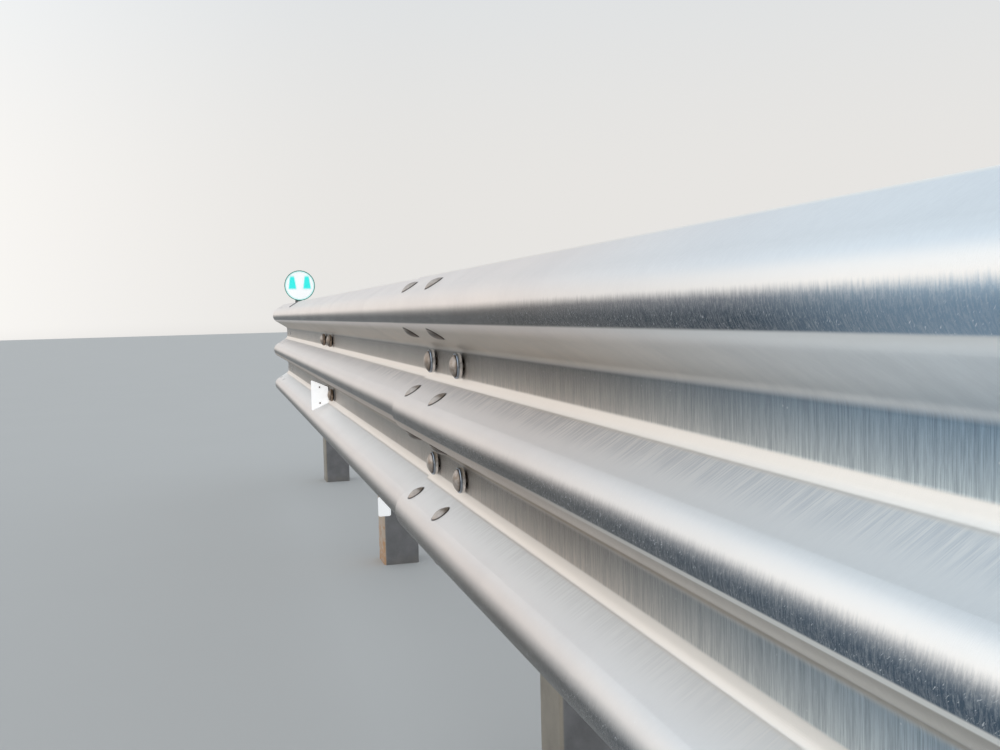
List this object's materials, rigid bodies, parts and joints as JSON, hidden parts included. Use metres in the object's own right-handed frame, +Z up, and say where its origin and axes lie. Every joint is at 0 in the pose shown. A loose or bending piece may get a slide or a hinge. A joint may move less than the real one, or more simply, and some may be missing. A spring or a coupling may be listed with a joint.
{
  "type": "highway guardrail section",
  "caption": "Three-wave steel highway guardrail section: lapped beam panels on square posts with folded spacer blocks, a clip-on round marker and reflectors.",
  "frame": {"origin": "ground level, in the road-side wall of the middle post's foot", "axes": "+X along the rail towards the lapping (near) panel, -Y the road side that the beam faces, +Z up"},
  "size_m": [8.32, 0.3862, 1.143],
  "materials": {
    "rail_steel": "hot-dip galvanised, drawn streaks across the rail",
    "post_steel": "hot-dip galvanised, dull, rust stains near the ground",
    "cap_steel": "hot-dip galvanised",
    "spacer_steel": "hot-dip galvanised, dull",
    "bracket_steel": "galvanised sheet",
    "reflective_white": "retroreflective sheet, fine cells",
    "marker_green": "satin green pan"
  },
  "bodies": {
    "root": {"rail_panel_far": "rail_steel", "rail_panel_near": "rail_steel", "post_1": "post_steel", "post_2": "post_steel", "post_3": "post_steel", "post_4": "post_steel", "post_5": "post_steel", "post_cap_1": "cap_steel", "post_cap_2": "cap_steel", "post_cap_3": "cap_steel", "post_cap_4": "cap_steel", "post_cap_5": "cap_steel", "spacer_block_1": "spacer_steel", "spacer_block_2": "spacer_steel", "spacer_block_3": "spacer_steel", "spacer_block_4": "spacer_steel", "spacer_block_5": "spacer_steel", "reflector_bracket": "bracket_steel", "reflector_plate": "reflective_white", "marker_clip": "bracket_steel", "marker_disc": "marker_green", "marker_face": "reflective_white", "post_reflector": "reflective_white"}
  },
  "joints": []
}
